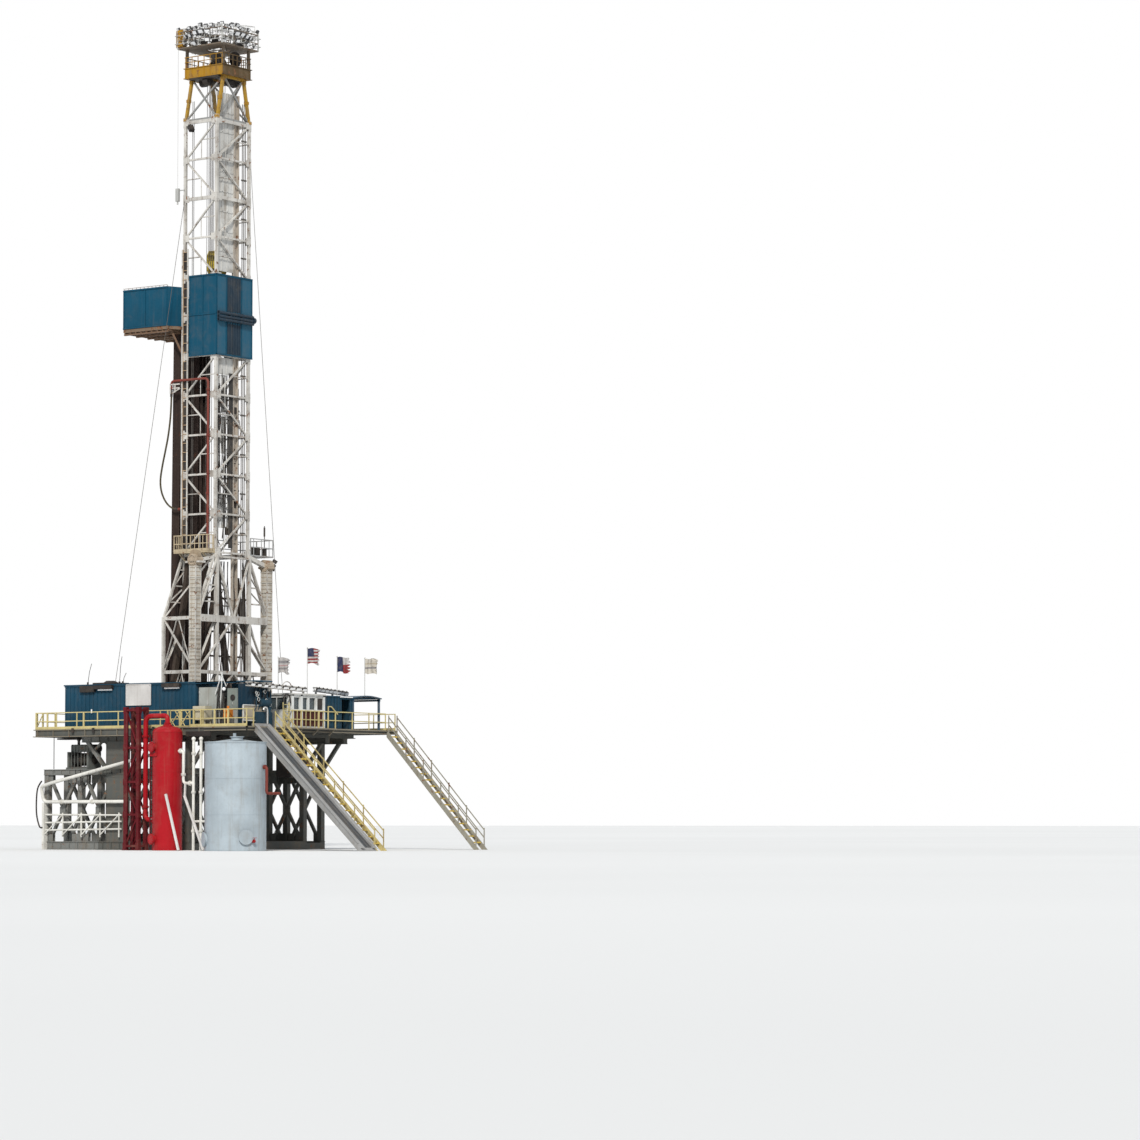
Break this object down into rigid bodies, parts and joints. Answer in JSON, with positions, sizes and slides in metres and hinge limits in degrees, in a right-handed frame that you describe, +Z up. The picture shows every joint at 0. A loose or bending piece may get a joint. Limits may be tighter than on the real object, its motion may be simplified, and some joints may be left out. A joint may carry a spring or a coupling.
{
  "type": "oil drilling rig, half-scale model",
  "caption": "Half-scale land drilling rig: braced mast with crown, racking board and travelling block over a raised drill floor with houses, stairs, pipe slide, gas separator and tank.",
  "frame": {"origin": "centre of the footprint, on the ground", "axes": "+Z up, +X along the rig's long side towards the pipe slide and stairs, +Y across it, away from the separator and tank"},
  "size_m": [13.0648, 9.4798, 27.1],
  "materials": {
    "frame_paint": "weathered",
    "deck_plate": "worn",
    "table_iron": "worn",
    "mast_paint": "weathered",
    "crown_paint": "weathered",
    "sheave_iron": "greasy",
    "galvanised": "dull",
    "lamp_metal": "dull",
    "board_steel": "rusty",
    "windwall_paint": "weathered",
    "rail_paint": "weathered",
    "ladder_paint": "rusty",
    "wire_rope": "greasy",
    "pipe_rust": "weathered",
    "hose_rubber": "matt",
    "service_rubber": "matt",
    "block_paint": "worn",
    "drive_paint": "worn",
    "drill_pipe": "rusty",
    "house_paint": "weathered",
    "door_paint": "weathered",
    "cabinet_paint": "weathered",
    "navy_paint": "weathered",
    "cabin_paint": "weathered",
    "glass": "clear",
    "roof_paint": "weathered",
    "canopy_paint": "weathered",
    "slide_steel": "worn",
    "gate_paint": "weathered",
    "tread_paint": "worn",
    "vessel_red": "satin",
    "frame_red": "dull",
    "tank_paint": "weathered",
    "white_paint": "weathered",
    "winch_paint": "greasy",
    "pole_metal": "dull",
    "flag_cloth": "matt"
  },
  "bodies": {
    "rig": {"skid_near": "frame_paint", "skid_far": "frame_paint", "skid_spreader": "frame_paint", "floor_beams": "frame_paint", "drill_floor": "deck_plate", "rotary_table": "table_iron", "mast_near": "mast_paint", "mast_far": "mast_paint", "mast_back": "mast_paint", "lower_mast_near": "mast_paint", "lower_mast_far": "mast_paint", "lower_mast_back": "mast_paint", "columns": "mast_paint", "crown_section": "crown_paint", "crown_beams": "crown_paint", "crown_sheaves": "sheave_iron", "crown_platform": "galvanised", "crown_lights": "lamp_metal", "racking_board": "board_steel", "racking_walls": "windwall_paint", "mast_screen": "windwall_paint", "mast_platform": "rail_paint", "mast_ladder": "ladder_paint", "mast_lines": "wire_rope", "standpipe": "pipe_rust", "rotary_hose": "hose_rubber", "service_lines": "service_rubber", "drilling_lines": "wire_rope", "racked_pipe": "drill_pipe", "doghouse_walls": "house_paint", "doghouse_roof": "house_paint", "doghouse_doors": "door_paint", "cabinets": "cabinet_paint", "navy_house": "navy_paint", "driller_cabin": "cabin_paint", "cabin_glass": "glass", "cabin_roof": "roof_paint", "tool_shed": "windwall_paint", "canopy": "canopy_paint", "deck_rails": "rail_paint", "pipe_slide": "slide_steel", "slide_gate": "gate_paint", "stair_treads": "tread_paint", "stair_sides": "rail_paint", "gas_vessel": "vessel_red", "gas_head": "vessel_red", "gas_frame": "frame_red", "gas_pipe": "vessel_red", "tank_shell": "tank_paint", "tank_roof": "tank_paint", "white_pipes": "white_paint", "winch": "winch_paint", "flagpoles": "pole_metal", "flags": "flag_cloth"},
    "hoist": {"travelling_block": "block_paint", "top_drive": "drive_paint"}
  },
  "joints": [
    {"name": "block_hoist", "type": "slide", "parent": "rig", "child": "hoist", "axis": [0, 0, 1], "range_m": [-11.5, 4], "deforming": ["drilling_lines"]}
  ]
}
